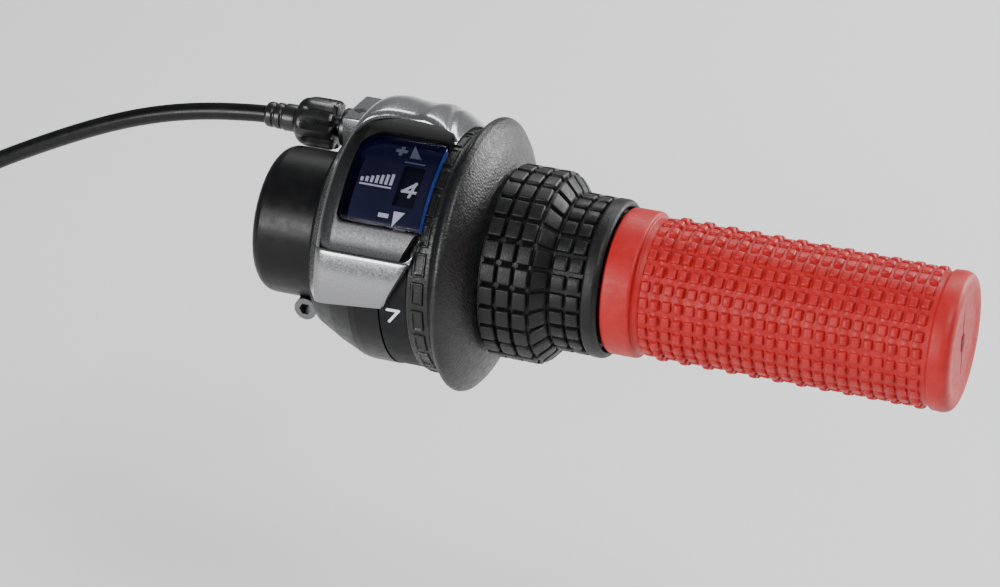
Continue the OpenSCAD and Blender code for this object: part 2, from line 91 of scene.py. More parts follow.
# Raised frames round the collar of the twist grip
COLLAR_R = 26.8
COLLAR_STATION = 43.7
COLLAR_SPAN = (41.5, 45.9)

# End grip
RIB_COUNT = 24
RIB_PITCH = 2.573
FIRST_RIB = 89.9
RIB_PHASE = 5.5
RIB_HALF = 0.98
RIB_GAP = 0.62
RIB_VALLEY = 14.35
LOW_TOP = 15.0
TALL_TOPS = ((95, 144), (15.55, 15.2))
GRIP_END = 155.5

# Camera: a long lens, as in the product photograph
CAMERA_AZIMUTH = 20.63
CAMERA_ELEVATION = 29.96
CAMERA_TARGET = (0.045, 0, -0.00906)
CAMERA_DISTANCE = 0.8
CAMERA_LENS = 131.96

FLOOR_Z = -0.135


# ---------- camera ----------

def add_camera():
    """The camera, on the rider's side of the bar and above it."""
    azimuth, elevation = math.radians(CAMERA_AZIMUTH), math.radians(CAMERA_ELEVATION)
    back = Vector((
        math.sin(azimuth) * math.cos(elevation),
        -math.cos(azimuth) * math.cos(elevation),
        math.sin(elevation),
    ))
    data = bpy.data.cameras.new("camera")
    data.sensor_width = 36
    data.lens = CAMERA_LENS
    data.clip_start = 0.01
    data.clip_end = 20
    camera = bpy.data.objects.new("camera", data)
    camera.location = Vector(CAMERA_TARGET) + CAMERA_DISTANCE * back
    camera.rotation_euler = back.to_track_quat("Z", "Y").to_euler()
    scene.collection.objects.link(camera)
    scene.camera = camera


# ---------- materials ----------

class Nodes:
    """A material's node tree with its principled shader, and short ways to add nodes to it.

    Scales and distances of nodes are in the scene's metres, because they use object coordinates.
    """

    def __init__(self, name, colour, roughness, metallic=0.0, specular=0.5):
        self.material = bpy.data.materials.new(name)
        self.material.use_nodes = True
        self.tree = self.material.node_tree
        self.shader = self.tree.nodes["Principled BSDF"]
        self.set("Base Color", (*colour, 1))
        self.set("Roughness", roughness)
        self.set("Metallic", metallic)
        self.set("Specular IOR Level", specular)
        self.place = self.add("ShaderNodeTexCoord").outputs["Object"]
        self.material.diffuse_color = (*colour, 1)

    def set(self, socket, value):
        self.shader.inputs[socket].default_value = value

    def add(self, kind, **values):
        node = self.tree.nodes.new(kind)
        for key, value in values.items():
            setattr(node, key, value)
        return node

    def link(self, start, end):
        self.tree.links.new(start, end)

    def noise(self, scale, detail=3.0, roughness=0.55, stretch=None):
        node = self.add("ShaderNodeTexNoise")
        node.inputs["Scale"].default_value = scale
        node.inputs["Detail"].default_value = detail
        node.inputs["Roughness"].default_value = roughness
        place = self.place
        if stretch:
            mapping = self.add("ShaderNodeMapping")
            mapping.inputs["Scale"].default_value = stretch
            self.link(place, mapping.inputs["Vector"])
            place = mapping.outputs["Vector"]
        self.link(place, node.inputs["Vector"])
        return node.outputs["Fac"]

    def cells(self, scale):
        node = self.add("ShaderNodeTexVoronoi")
        node.inputs["Scale"].default_value = scale
        self.link(self.place, node.inputs["Vector"])
        return node.outputs["Distance"]

    def between(self, factor, low, high, start=0.3, end=0.7):
        node = self.add("ShaderNodeMapRange")
        node.inputs["From Min"].default_value = start
        node.inputs["From Max"].default_value = end
        node.inputs["To Min"].default_value = low
        node.inputs["To Max"].default_value = high
        self.link(factor, node.inputs["Value"])
        return node.outputs["Result"]

    def colours(self, factor, stops):
        ramp = self.add("ShaderNodeValToRGB")
        elements = ramp.color_ramp.elements
        while len(elements) < len(stops):
            elements.new(0.5)
        for element, (where, colour) in zip(elements, stops):
            element.position = where
            element.color = (*colour, 1)
        self.link(factor, ramp.inputs["Fac"])
        self.link(ramp.outputs["Color"], self.shader.inputs["Base Color"])

    def rough(self, factor, low, high):
        self.link(self.between(factor, low, high), self.shader.inputs["Roughness"])

    def bump(self, height, strength, distance, under=None):
        node = self.add("ShaderNodeBump")
        node.inputs["Strength"].default_value = strength
        node.inputs["Distance"].default_value = distance
        self.link(height, node.inputs["Height"])
        if under:
            self.link(under, node.inputs["Normal"])
        self.link(node.outputs["Normal"], self.shader.inputs["Normal"])
        return node.outputs["Normal"]


def shade(colour, factor):
    return tuple(c * factor for c in colour)


def plastic(name, colour, roughness, grain=5200, depth=0.00003, spread=0.25, specular=0.5):
    """Moulded plastic: faint clouds of tone, a fine spark-eroded grain and uneven gloss."""
    n = Nodes(name, colour, roughness, specular=specular)
    n.colours(n.noise(190, 4), [
        (0.3, shade(colour, 1 - spread)),
        (0.55, colour),
        (0.75, shade(colour, 1 + spread)),
    ])
    n.rough(n.noise(420, 3), roughness - 0.06, roughness + 0.08)
    n.bump(n.noise(grain, 2), 0.35, depth)
    return n.material


def rubber(name, colour, roughness, grain, depth, dust, specular=0.35):
    """Rubber: a matt skin with pebbled grain, a little paler where dust and wear gather."""
    n = Nodes(name, colour, roughness, specular=specular)
    n.colours(n.noise(260, 5, 0.65), [
        (0.28, shade(colour, 0.86)),
        (0.52, colour),
        (0.78, dust),
    ])
    n.rough(n.noise(700, 3), roughness - 0.07, roughness + 0.09)
    skin = n.bump(n.cells(grain), 0.5, depth)
    n.bump(n.noise(grain * 2.4, 3), 0.25, depth * 0.6, skin)
    return n.material


def metal(name, colour, roughness, stretch=(1, 1, 1), wear=0.12):
    """Metal with drawn or turned streaks and a few duller patches."""
    n = Nodes(name, colour, roughness, metallic=1.0)
    n.colours(n.noise(300, 4, stretch=stretch), [
        (0.3, shade(colour, 1 - wear)),
        (0.7, colour),
    ])
    n.rough(n.noise(900, 4, stretch=stretch), roughness - 0.08, roughness + 0.1)
    n.bump(n.noise(2600, 3, stretch=stretch), 0.15, 0.00002)
    return n.material


def metallic_paint(name, colour, roughness, flake, depth, spread, painted_shade=None, coat=0.35):
    """Metallic paint on plastic, with fine flakes. The painted shade, if given, is the two places
    along Y between which the colour is darkened to stand in for shade, and the share of its colour
    that is left at the second.
    """
    n = Nodes(name, colour, roughness, metallic=0.82)
    n.colours(n.noise(flake, 2, 0.7), [
        (0.3, shade(colour, 1 - spread)),
        (0.5, colour),
        (0.72, shade(colour, 1 + spread)),
    ])
    # Painted shade: the base colour is multiplied down along Y to stand in for shade. It is not a
    # change in the paint.
    if painted_shade:
        apart = n.add("ShaderNodeSeparateXYZ")
        n.link(n.place, apart.inputs["Vector"])
        first, second, left = painted_shade
        share = n.between(apart.outputs["Y"], 1.0, left, first, second)
        painted_shade_mix = n.add("ShaderNodeMix", data_type="RGBA", blend_type="MULTIPLY")
        painted_shade_mix.inputs["Factor"].default_value = 1.0
        colour_in = n.shader.inputs["Base Color"]
        n.link(colour_in.links[0].from_socket, painted_shade_mix.inputs["A"])
        n.link(share, painted_shade_mix.inputs["B"])
        n.link(painted_shade_mix.outputs["Result"], colour_in)
    n.rough(n.noise(flake * 0.5, 2), roughness - 0.05, roughness + 0.08)
    n.bump(n.noise(flake, 2), 0.3, depth)
    n.set("Coat Weight", coat)
    n.set("Coat Roughness", 0.12)
    return n.material


def tinted_lens(name, tint, body, share):
    """Blue smoked window: it tints what lies behind it and keeps a clear gloss."""
    n = Nodes(name, body, 0.05)
    n.rough(n.noise(240, 2), 0.03, 0.09)
    clear = n.add("ShaderNodeBsdfTransparent")
    clear.inputs["Color"].default_value = (*tint, 1)
    facing = n.add("ShaderNodeLayerWeight")
    facing.inputs["Blend"].default_value = 0.35
    mix = n.add("ShaderNodeMixShader")
    n.link(n.between(facing.outputs["Fresnel"], share, 0.75, 0.0, 1.0), mix.inputs["Fac"])
    n.link(clear.outputs["BSDF"], mix.inputs[1])
    n.link(n.shader.outputs["BSDF"], mix.inputs[2])
    n.link(mix.outputs["Shader"], n.tree.nodes["Material Output"].inputs["Surface"])
    return n.material


def make_materials():
    """The materials by the name of their slot in the record, and two more for parts of a piece."""
    return {
        "black_plastic": plastic("black_plastic", (0.005, 0.005, 0.0055), 0.36, specular=0.2),
        "ring_plastic": plastic("ring_plastic", (0.008, 0.008, 0.009), 0.56, specular=0.15),
        "silver_plastic": metallic_paint("silver_plastic", (0.25, 0.25, 0.26), 0.22, 4200,
                                         0.000006, 0.07),
        # The grey frame is darkened along Y as painted shade, towards its upper edge over the
        # window.
        "grey_metallic": metallic_paint("grey_metallic", (0.058, 0.058, 0.062), 0.36, 3600,
                                        0.00006, 0.5, (-0.019, -0.006, 0.01), 0.0),
        "blue_lens": tinted_lens("blue_lens", (0.9, 0.9, 0.96), (0.004, 0.005, 0.03), 0.03),
        "lens_edge": plastic("lens_edge", (0.02, 0.045, 0.26), 0.16, depth=0.00001),
        "display": plastic("display", (0.021, 0.022, 0.043), 0.6, depth=0.00001, specular=0.06),
        "display_print": plastic("display_print", (0.78, 0.78, 0.78), 0.45, spread=0.06),
        "black_rubber": rubber("black_rubber", (0.006, 0.006, 0.0065), 0.46, 2600, 0.00006,
                               (0.012, 0.012, 0.0125), 0.28),
        "leather_rubber": rubber("leather_rubber", (0.007, 0.007, 0.0075), 0.42, 1700, 0.00012,
                                 (0.012, 0.012, 0.0125), 0.4),
        "red_rubber": rubber("red_rubber", (0.4, 0.0125, 0.014), 0.46, 3000, 0.00003,
                             (0.45, 0.021, 0.022), 0.25),
        "red_shadow": rubber("red_shadow", (0.17, 0.004, 0.004), 0.6, 3000, 0.00002,
                             (0.2, 0.006, 0.006), 0.1),
        "knob_plastic": plastic("knob_plastic", (0.009, 0.009, 0.0095), 0.3, specular=0.45),
        "gear_plastic": plastic("gear_plastic", (0.6, 0.57, 0.48), 0.5, spread=0.1),
        "bright_steel": metal("bright_steel", (0.17, 0.17, 0.175), 0.3, (1, 12, 1)),
        "dark_steel": metal("dark_steel", (0.12, 0.12, 0.125), 0.36),
        "wire_steel": metal("wire_steel", (0.55, 0.56, 0.57), 0.3, (1, 1, 9)),
        "casing_black": plastic("casing_black", (0.005, 0.005, 0.0055), 0.32, grain=3800,
                                specular=0.22),
        "bright_alloy": metal("bright_alloy", (0.72, 0.73, 0.74), 0.26, (1, 1, 7)),
    }


# ---------- mesh tools ----------

def on_bar(station, radius, phi):
    """Points in the frame of the part, in millimetres, from stations, radii and angles."""
    angle = np.radians(phi)
    return np.stack(np.broadcast_arrays(
        station + SHIFT,
        -radius * np.sin(angle),
        radius * np.cos(angle),
    ), axis=-1)


def smooth_line(points, steps):
    """Points of a Catmull-Rom curve through the given ones."""
    p = np.array(points, float)
    out = []
    for i in range(len(p) - 1):
        a, b, c, d = p[max(i - 1, 0)], p[i], p[i + 1], p[min(i + 2, len(p) - 1)]
        for t in np.arange(steps) / steps:
            out.append(0.5 * (2 * b + (c - a) * t + (2 * a - 5 * b + 4 * c - d) * t ** 2
                              + (3 * b - a - 3 * c + d) * t ** 3))
    out.append(p[-1])
    return np.array(out)


def fillet(points, radius, steps=4, closed=True):
    """An outline with each corner rounded, as far as its shorter side allows."""
    p = [np.array(q, float) for q in points]
    out = []
    for i, corner in enumerate(p):
        if not closed and i in (0, len(p) - 1):
            out.append(corner)
            continue
        before, after = p[i - 1] - corner, p[(i + 1) % len(p)] - corner
        reach = min(radius, 0.45 * np.linalg.norm(before), 0.45 * np.linalg.norm(after))
        start = corner + before / np.linalg.norm(before) * reach
        end = corner + after / np.linalg.norm(after) * reach
        for t in np.arange(steps + 1) / steps:
            out.append((1 - t) ** 2 * start + 2 * t * (1 - t) * corner + t ** 2 * end)
    return np.array(out)


def quads(rows, cols, close_rows, close_cols, first=0):
    """Faces of a grid of vertices, row by row."""
    i, j = np.meshgrid(
        np.arange(rows if close_rows else rows - 1),
        np.arange(cols if close_cols else cols - 1),
        indexing="ij",
    )
    i2, j2 = (i + 1) % rows, (j + 1) % cols
    corners = [i * cols + j, i2 * cols + j, i2 * cols + j2, i * cols + j2]
    return (np.stack(corners, -1).reshape(-1, 4) + first).tolist()


def make_mesh(name, points, faces, sharp=38):
    """A mesh object from points in millimetres, with normals outward and smooth shading."""
    mesh = bpy.data.meshes.new(name)
    mesh.from_pydata((np.asarray(points, float).reshape(-1, 3) * MM).tolist(), [], faces)
    shell = bmesh.new()
    shell.from_mesh(mesh)
    bmesh.ops.remove_doubles(shell, verts=shell.verts, dist=1e-7)
    bmesh.ops.delete(shell, geom=[v for v in shell.verts if not v.link_faces], context="VERTS")
    bmesh.ops.recalc_face_normals(shell, faces=shell.faces)
    shell.to_mesh(mesh)
    shell.free()
    mesh.polygons.foreach_set("use_smooth", [True] * len(mesh.polygons))
    mesh.set_sharp_from_angle(angle=math.radians(sharp))
    obj = bpy.data.objects.new(name, mesh)
    scene.collection.objects.link(obj)
    return obj


def fit_out(obj, body, slot, material, *nodes):
    """Gives a piece its material and its body, and hides the CAD nodes it stands for. The slot is
    not used.
    """
    obj.data.materials.append(material)
    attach(obj, body)
    if nodes:
        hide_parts(*nodes)
    return obj


def round_adjuster(name, station, radius, angle):
    """A closed skin about the adjuster's axis, from stations, radii and angles."""
    points = on_bar(station[:, None], radius, angle[None, :])
    points[..., 1] += ADJUSTER_Y
    points[..., 2] += ADJUSTER_Z
    return make_mesh(name, points, quads(len(station), len(angle), True, True))


def lathe(name, outline, sides=64):
    """A closed [radius, station] outline revolved about the adjuster's axis."""
    radius, station = outline.T
    return round_adjuster(name, station, radius[:, None], np.arange(sides) * 360 / sides)


def wall(name, station, phi, outer, inner, open_cells=None):
    """A closed curved plate over a grid of stations and angles, between two radii.

    Cells of the grid marked as open are left out, and the plate gets side walls round them.
    """
    rows, cols = station.shape
    top = on_bar(station, outer, phi).reshape(-1, 3)
    under = on_bar(station, inner, phi).reshape(-1, 3)
    half = rows * cols
    skin = quads(rows, cols, False, False)
    if open_cells is not None:
        skin = [face for face, gone in zip(skin, open_cells.reshape(-1)) if not gone]
    sides = {}
    for face in skin:
        for a, b in zip(face, face[1:] + face[:1]):
            if (b, a) in sides:
                del sides[(b, a)]
            else:
                sides[(a, b)] = [a, b, b + half, a + half]
    faces = skin + [[v + half for v in face] for face in skin] + list(sides.values())
    return make_mesh(name, np.concatenate([top, under]), faces)


def prism_faces(first, n):
    """Faces of a prism: its two ends of n vertices each, from the first one on, and its sides."""
    faces = [[first + k for k in range(n)], [first + n + k for k in range(n)]]
    for k in range(n):
        k2 = (k + 1) % n
        faces.append([first + k, first + k2, first + n + k2, first + n + k])
    return faces


def prism_on_bar(outlines, radius, lift, station, phi):
    """Flat outlines wrapped on a cylinder about the bar, upright to the rider, and thickened."""
    points, faces = [], []
    for outline in outlines:
        faces += prism_faces(len(points), len(outline))
        for r in (radius, radius + lift):
            for x, y in outline:
                points.append(on_bar(station + x, r, phi - math.degrees(y / radius)))
    return points, faces


def box_outline(x0, x1, y0, y1):
    return [(x0, y0), (x1, y0), (x1, y1), (x0, y1)]


def ridge(distance, reach):
    """From 0 at an edge to 1 inside it, as a quarter round of the given reach."""
    t = np.clip(distance / reach, 0, 1)
    return np.sqrt(np.clip(1 - (1 - t) ** 2, 0, 1))


def inside_box(x, y, half_x, half_y, corner):
    """Distance inside a box with rounded corners, and 0 outside it."""
    dx = np.abs(x) - (half_x - corner)
    dy = np.abs(y) - (half_y - corner)
    outside = np.hypot(np.maximum(dx, 0), np.maximum(dy, 0))
    return np.maximum(corner - outside - np.minimum(np.maximum(dx, dy), 0), 0)


def edge_samples(low, high, steps=(0.0, 0.06, 0.16, 0.32, 0.55)):
    """Sample places across a block: close together at its two edges."""
    side = np.array(steps)
    return np.concatenate([low + side, [(low + high) / 2], high - side[::-1]])


# ---------- casing ----------

# The route, [x, z], as in the CAD: out of the ferrule, down a falling curve and into the coil.
# The coil's angles are in degrees, and its pitch is a turn's step along Y.
CASING_START = -3.0
ROUTE = [
    (-14, 16.8), (-21, 16.2), (-30, 14.9), (-39, 12.9), (-48, 10.1), (-57, 6.5), (-66, 2.3),
    (-75, -2.3), (-84, -7.2), (-93, -12.6), (-102, -18.1), (-111, -23.6), (-119, -28.5),
]
COIL_CENTRE = (-114.0, -52.5)
COIL_R = 23.0
COIL_ENTRY = 122
COIL_EXIT = 900
COIL_PITCH = 4.2
COIL_STEPS = 44
FERRULE_TOP = COIL_CENTRE[1] - 22
CASING_DEPTH = 5.5


def coil_point(angle):
    turn = math.radians(angle)
    return (
        COIL_CENTRE[0] + COIL_R * math.cos(turn),
        ADJUSTER_Y - COIL_PITCH * (angle - COIL_ENTRY) / 360,
        COIL_CENTRE[1] + COIL_R * math.sin(turn),
    )


def casing_points():
    points = [(SHIFT + CASING_START, ADJUSTER_Y, ADJUSTER_Z)]
    points += [(x, ADJUSTER_Y, z) for x, z in ROUTE]
    for k in range(COIL_STEPS + 1):
        points.append(coil_point(COIL_ENTRY + (COIL_EXIT - COIL_ENTRY) * k / COIL_STEPS))
    x, y, z = points[-1]
    end = FERRULE_TOP - CASING_DEPTH
    for k in range(1, 5):
        points.append((x, y, z + (end - z) * k / 4))
    return np.array(points)


def add_casing(mats):
    """The outer casing as one smooth curve, with its stored length in the coil."""
    points = casing_points()
    data = bpy.data.curves.new("casing", "CURVE")
    data.dimensions = "3D"
    data.bevel_depth = CASING_D / 2 * MM
    data.bevel_resolution = 5
    data.resolution_u = 5
    data.use_fill_caps = True
    spline = data.splines.new("BEZIER")
    spline.bezier_points.add(len(points) - 1)
    last = len(points) - 1
    for i, knot in enumerate(spline.bezier_points):
        lean = (points[min(i + 1, last)] - points[max(i - 1, 0)]) / 6
        before = np.linalg.norm(points[i] - points[max(i - 1, 0)])
        after = np.linalg.norm(points[min(i + 1, last)] - points[i])
        whole = before + after
        knot.handle_left_type = knot.handle_right_type = "FREE"
        knot.co = Vector(points[i]) * MM
        knot.handle_left = Vector(points[i] - lean * 2 * before / whole) * MM
        knot.handle_right = Vector(points[i] + lean * 2 * after / whole) * MM
    casing = bpy.data.objects.new("casing", data)
    scene.collection.objects.link(casing)
    fit_out(casing, "carriage", "casing_black", mats["casing_black"],
            "outer_casing", "casing_coil", "casing_tail")
    tie = add_coil_tie(mats)


def add_coil_tie(mats):
    """A nylon band round the coil's turns."""
    low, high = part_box("coil_tie")
    middle = np.array((low + high) / 2) / MM
    turn = math.radians(60)
    out = np.array([math.cos(turn), 0, -math.sin(turn)])
    along = np.array([math.sin(turn), 0, math.cos(turn)])
    across = np.array([0, 1.0, 0])
    loop = fillet([(-2.9, -8.2), (2.9, -8.2), (2.9, 8.2), (-2.9, 8.2)], 2.2, 6)
    inner = np.array([(x * 2.12 / 2.9, y * 7.2 / 8.2) for x, y in loop])
    width = 1.35
    points = []
    for ring, half in ((loop, width), (loop, -width), (inner, -width), (inner, width)):
        for x, y in ring:
            points.append(middle + out * x + across * y + along * half)
    tie = make_mesh("coil_band", points, quads(4, len(loop), True, True))
    return fit_out(tie, "carriage", "knob_plastic", mats["knob_plastic"], "coil_tie")


# ---------- housing ----------

# Section of the silver shell over the back, [radius, station]
HUMP = [
    (22.6, 17.4), (23.3, 17.7), (25.6, 19.2), (27.9, 20.6), (29.7, 21.6), (30.7, 22.9),
    (31.15, 24.6), (31.2, 26.9), (30.8, 30.2), (30.7, 32.8), (31.0, 35.4), (30.5, 37.8),
    (29.4, 40.1), (27.9, 42.5), (27.4, 43.4),
]
HUMP_INNER = [
    (22.4, 17.4), (24.75, 22.3), (27, 23.6), (28.6, 24.6), (29.3, 26), (29.3, 36), (28.4, 40),
    (27.15, 42.4), (27.15, 43.4),
]
APRON = [(22.6, 17.4), (23.3, 17.7), (27.6, 20.5), (28.15, 21.4), (28.35, 23), (28.35, 43.6)]
APRON_INNER = [(22.4, 17.4), (24.75, 22.3), (27.15, 27.5), (27.15, 43.6)]
# Lower edge of the hump, an arch over the window, as (station, phi)
ARCH = [(17.4, 17), (19.5, 15.5), (21.2, 13), (22.7, 9.4), (25, 4.6), (29.6, 0.6), (35, 0.5),
        (40.2, 2.6), (43.4, 5.5)]
# The crease that leaves the hump's crest for the grip: its angles, and its station at each
FOLD = ((-60, -24.4, -5.3, 6.4), (36.2, 37.8, 40.4, 42.4))
# Radii on which angles are turned into lengths along the surface
HUMP_ARC_R = 30
FRAME_ARC_R = 29
FACET_ARC_R = 28
# Countersunk seats of the two cover screws, as (station, phi)
SCREWS = [(25, -112), (33, -112)]
SCREW_SEAT_R = 29.5
SCREW_HOLE = 2.3
SCREW_LIP = 0.35


def radius_along(outline, station):
    r, s = np.array(outline).T
    return np.interp(station, s, r)


def arch_phi(station):
    s, phi = smooth_line(ARCH, 6).T
    return np.interp(station, s, phi)


def add_hump(mats):
    """The silver shell over the back of the drum. It rolls down to the window's arch."""
    r, s = smooth_line(HUMP, 9).T
    share = np.concatenate([
        np.linspace(0, 0.5, 40), np.linspace(0.51, 0.965, 70), np.linspace(0.97, 1, 12),
    ])
    edge = arch_phi(s)
    station = np.repeat(s[:, None], len(share), axis=1)
    phi = COVER_START + share[None, :] * (edge[:, None] - COVER_START)
    to_edge = np.radians(edge[:, None] - phi) * HUMP_ARC_R
    to_start = np.radians(phi - COVER_START) * HUMP_ARC_R
    rounding = (1 - ridge(to_edge, 2.4)) * 1.3 + (1 - ridge(to_start, 0.8)) * 0.7
    near_fold = np.clip(1 - np.abs(station - np.interp(phi, *FOLD)) / 1.3, 0, 1)
    scoop = 0.6 * near_fold ** 1.3 * np.clip((phi - FOLD[0][0]) / 30, 0, 1)
    inner = np.repeat(radius_along(HUMP_INNER, s)[:, None], len(share), axis=1)
    outer = np.maximum(r[:, None] - rounding - scoop, inner + 0.12)
    for place, turn in SCREWS:
        away = np.hypot(station - place, np.radians(phi - turn) * HUMP_ARC_R)
        sunk = np.clip((SCREW_HOLE + SCREW_LIP - away) / SCREW_LIP, 0, 1)
        outer = outer - sunk * np.maximum(outer - SCREW_SEAT_R, 0)
    hump = wall("cover_hump", station, phi, outer, inner)
    fit_out(hump, "housing", "silver_plastic", mats["silver_plastic"], "top_cover")


def add_chamfer(mats):
    """The silver strip down the window's inboard side, from the arch to the crease."""
    s = fillet([(p[1], p[0]) for p in APRON[:5]], 0.5, 3, closed=False)
    station, radius = s[s[:, 0] <= 21.3].T
    share = np.linspace(0, 1, 40)
    edge = arch_phi(station) + 0.1
    grid = np.repeat(station[:, None], len(share), axis=1)
    phi = edge[:, None] + share[None, :] * (CREASE_PHI - edge[:, None])
    outer = np.repeat(radius[:, None], len(share), axis=1)
    inner = np.repeat(radius_along(APRON_INNER, station)[:, None], len(share), axis=1)
    strip = wall("cover_chamfer", grid, phi, np.maximum(outer, inner + THINNEST), inner)
    fit_out(strip, "housing", "silver_plastic", mats["silver_plastic"])


def add_facet(mats):
    """The bright facet under the window, narrower towards its foot."""
    along = np.concatenate([np.linspace(0, 0.14, 18), np.linspace(0.16, 0.97, 24), [0.985, 1.0]])
    down = np.concatenate([[0, 0.008, 0.02], np.linspace(0.05, 0.96, 24), [0.98, 1.0]])
    u, v = np.meshgrid(along, down, indexing="ij")
    right = 42.0 - 5.8 * v
    grid = COVER_FOOT + u * (right - COVER_FOOT)
    phi = CREASE_PHI + v * (27 - 4 * u)
    inner = radius_along(APRON_INNER, grid)
    outer = radius_along(APRON, grid) + 0.25
    border = np.minimum(
        np.minimum(v, 1 - v) * np.radians(27) * FACET_ARC_R,
        (1 - u) * 20,
    )
    outer = np.maximum(outer - 0.55 * (1 - ridge(border, 0.55)), inner + THINNEST)
    facet = wall("cover_facet", grid, phi, outer, inner)
    fit_out(facet, "housing", "silver_plastic", mats["silver_plastic"])


def add_horn(mats):
    """The thin silver horn that closes the window frame's lower outboard corner."""
    brow_start, brow_end = 58.6, 69.2
    lean = 1 - (1 - np.linspace(0, 1, 40)) ** 2
    high = np.radians(90 * lean)
    hollow = 39.7 + 3.5 * np.cos(high)
    brow = brow_start + (brow_end - brow_start) * np.sin(high)
    outside = np.interp(brow, [brow_start, brow_end], [43.5, 42.0])
    across = np.array([0, 0.03, 0.08, 0.16, 0.3, 0.5, 0.7, 0.85, 0.95, 1.0])
    grid = hollow[:, None] + across[None, :] * (outside - hollow)[:, None]
    phi = np.repeat(brow[:, None], len(across), axis=1)
    from_edge = grid - hollow[:, None]
    crown = 0.3 * ridge(from_edge, 0.25) - 0.25 * np.clip(from_edge - 0.35, 0, 1)
    rim = wall("cover_rim", grid, phi, 28.25 + crown, np.full_like(grid, 27.2))
    fit_out(rim, "housing", "silver_plastic", mats["silver_plastic"])


# The adjuster's box: its lid slopes down along Y, and its foot stands on the drum
LID_Z = 23.1
LID_SLOPE = 0.085
BOX_Y = (8.0, 21.8)
BOX_FOOT = 12.6
BOX_START = 12.4
BOX_END = 23.4
ARROW_PLACE = (16.6, 13.0)
# Sections of the box stay outside this radius from the station where the reel starts
REEL_ROOM_R = 22.4
REEL_START = 17.9


def box_section(beyond_reel):
    """Outline of the adjuster's box, [y, z]. Beside the reel its inner corner is cut back."""
    near, far = BOX_Y
    arc_end = math.sqrt(REEL_ROOM_R ** 2 - near ** 2)
    arc_start = math.sqrt(REEL_ROOM_R ** 2 - BOX_FOOT ** 2)
    corner = [((arc_start + near) / 2, BOX_FOOT), (near, BOX_FOOT),
              (near, (BOX_FOOT + arc_end) / 2)]
    if beyond_reel:
        low, high = math.atan2(BOX_FOOT, arc_start), math.atan2(arc_end, near)
        turns = [low * (1 - share) + high * share for share in (0.25, 0.5, 0.75)]
        corner = [(REEL_ROOM_R * math.cos(t), REEL_ROOM_R * math.sin(t)) for t in turns]
    lid_end = LID_Z - LID_SLOPE * (far - near)
    return fillet([(near, LID_Z), (far, lid_end), (far, BOX_FOOT), (arc_start, BOX_FOOT),
                   *corner, (near, arc_end)], 0.6)


def add_adjuster_box(mats):
    """The silver box over the adjuster's boss, with a rounded front edge."""
    whole, cut = box_section(False), box_section(True)
    middle = whole.mean(axis=0)
    sections = [(BOX_START + back, middle + (whole - middle) * size)
                for back, size in ((0, 0.91), (0.07, 0.945), (0.25, 0.978))]
    sections += [(BOX_START + 0.55, whole), (REEL_START - 0.05, whole),
                 (REEL_START, cut), (BOX_END, cut)]
    count = len(whole)
    points = [(station + SHIFT, y, z) for station, outline in sections for y, z in outline]
    faces = quads(len(sections), count, False, True)
    faces += [list(range(count)), list(range(len(points) - count, len(points)))]
    box = make_mesh("cover_box", points, faces, sharp=50)
    fit_out(box, "housing", "silver_plastic", mats["silver_plastic"])


def add_box_details(mats):
    """The dark seal round the adjuster's neck, and a plain arrow on the lid of its box."""
    seal = lathe("neck_seal", fillet([(2.62, 10.2), (4.4, 10.2), (4.4, 12.6), (2.62, 12.6)], 0.4))
    fit_out(seal, "housing", "knob_plastic", mats["knob_plastic"])
    arrow = [(-3.2, 0), (-1.2, 1.5), (-1.2, 0.55), (3.0, 0.55), (3.0, -0.55), (-1.2, -0.55),
             (-1.2, -1.5)]
    station, middle = ARROW_PLACE
    points = []
    for lift in (-0.25, 0.1):
        for x, y in arrow:
            top = LID_Z - LID_SLOPE * (middle + y - BOX_Y[0])
            points.append((station + SHIFT + x, middle + y, top + lift))
    mark = make_mesh("box_arrow", points, prism_faces(0, len(arrow)))
    fit_out(mark, "housing", "knob_plastic", mats["knob_plastic"])


def corner_phi(station, left, phi, radius, sign):
    """Where a window's upper or lower edge runs, with its inboard corner rounded."""
    short = np.clip(radius - (station - left), 0, radius)
    drop = radius - np.sqrt(np.clip(radius ** 2 - short ** 2, 0, None))
    return phi + sign * np.degrees(drop / LENS_R)


